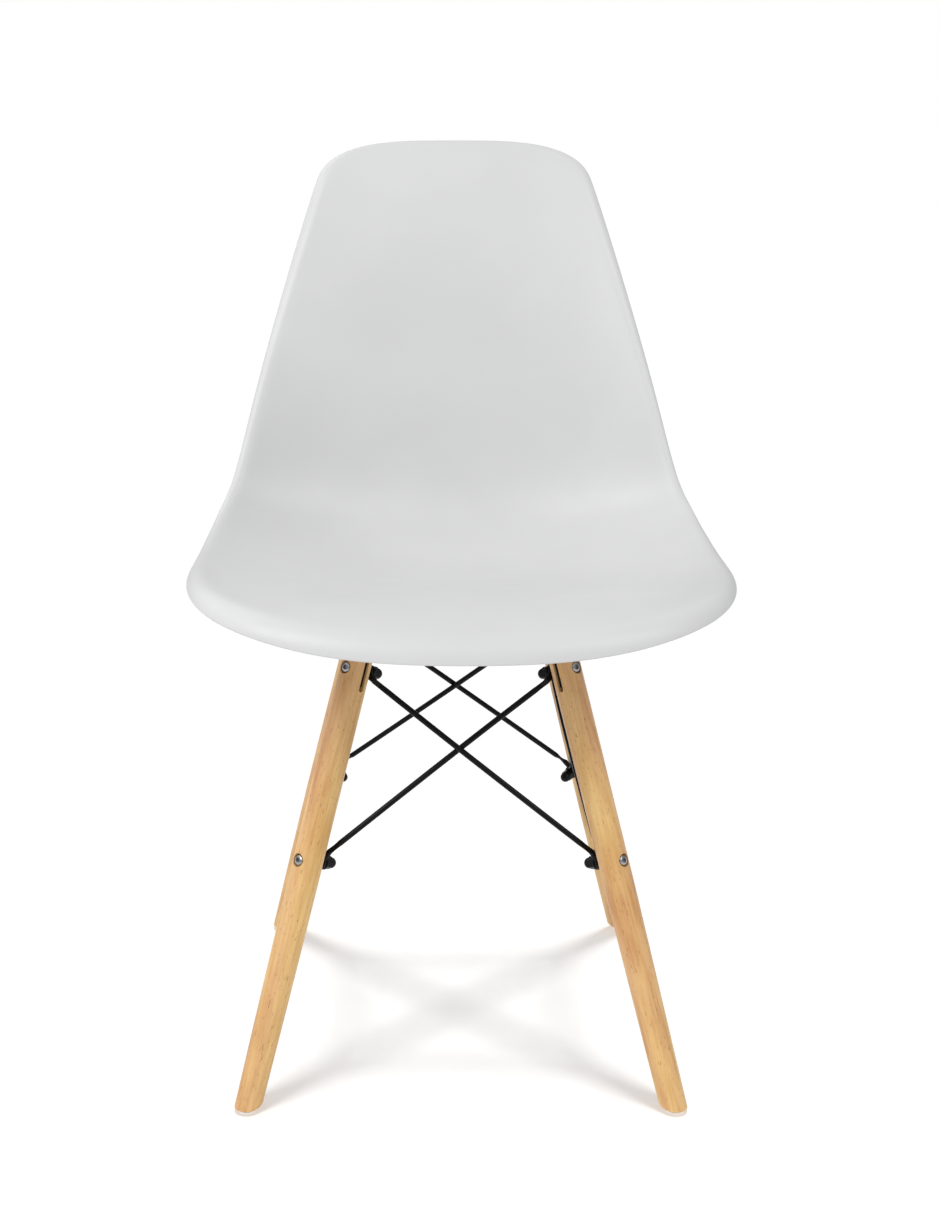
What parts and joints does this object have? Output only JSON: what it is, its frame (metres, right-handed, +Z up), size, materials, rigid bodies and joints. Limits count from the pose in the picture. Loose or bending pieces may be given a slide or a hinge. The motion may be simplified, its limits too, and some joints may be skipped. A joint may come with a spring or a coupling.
{
  "type": "dining chair",
  "caption": "Armless chair with a one-piece moulded plastic shell on splayed turned beech legs, braced by crossed black steel rods under the seat.",
  "frame": {"origin": "on the floor, under the middle of the chair's overall box", "axes": "+Z up, -Y towards the front of the chair, +X towards the right of a person who faces its front"},
  "size_m": [0.4674, 0.5188, 0.8218],
  "materials": {
    "moulded_plastic": "light grey moulded polypropylene, satin with a fine grain",
    "beech": "clear satin lacquer on turned beech",
    "black_steel": "semi-gloss black powder coat",
    "zinc_steel": "bright zinc plate",
    "nylon": "white moulded nylon",
    "rubber": "matt black rubber",
    "brass": "plain turned brass"
  },
  "bodies": {
    "root": {"seat_shell": "moulded_plastic", "crossbar_upper": "black_steel", "crossbar_lower": "black_steel", "centre_bolt": "black_steel", "centre_nut": "black_steel", "leg_front_left": "beech", "glide_front_left": "nylon", "seat_screw_front_left": "zinc_steel", "rubber_washer_front_left": "rubber", "threaded_insert_front_left": "brass", "leg_bolt_upper_front_left": "zinc_steel", "leg_bolt_lower_front_left": "zinc_steel", "cap_nut_upper_front_left": "black_steel", "cap_nut_lower_front_left": "black_steel", "leg_front_right": "beech", "glide_front_right": "nylon", "seat_screw_front_right": "zinc_steel", "rubber_washer_front_right": "rubber", "threaded_insert_front_right": "brass", "leg_bolt_upper_front_right": "zinc_steel", "leg_bolt_lower_front_right": "zinc_steel", "cap_nut_upper_front_right": "black_steel", "cap_nut_lower_front_right": "black_steel", "leg_back_left": "beech", "glide_back_left": "nylon", "seat_screw_back_left": "zinc_steel", "rubber_washer_back_left": "rubber", "threaded_insert_back_left": "brass", "leg_bolt_upper_back_left": "zinc_steel", "leg_bolt_lower_back_left": "zinc_steel", "cap_nut_upper_back_left": "black_steel", "cap_nut_lower_back_left": "black_steel", "leg_back_right": "beech", "glide_back_right": "nylon", "seat_screw_back_right": "zinc_steel", "rubber_washer_back_right": "rubber", "threaded_insert_back_right": "brass", "leg_bolt_upper_back_right": "zinc_steel", "leg_bolt_lower_back_right": "zinc_steel", "cap_nut_upper_back_right": "black_steel", "cap_nut_lower_back_right": "black_steel", "brace_front_outer": "black_steel", "brace_front_inner": "black_steel", "brace_back_outer": "black_steel", "brace_back_inner": "black_steel", "brace_left_outer": "black_steel", "brace_left_inner": "black_steel", "brace_right_outer": "black_steel", "brace_right_inner": "black_steel"}
  },
  "joints": []
}
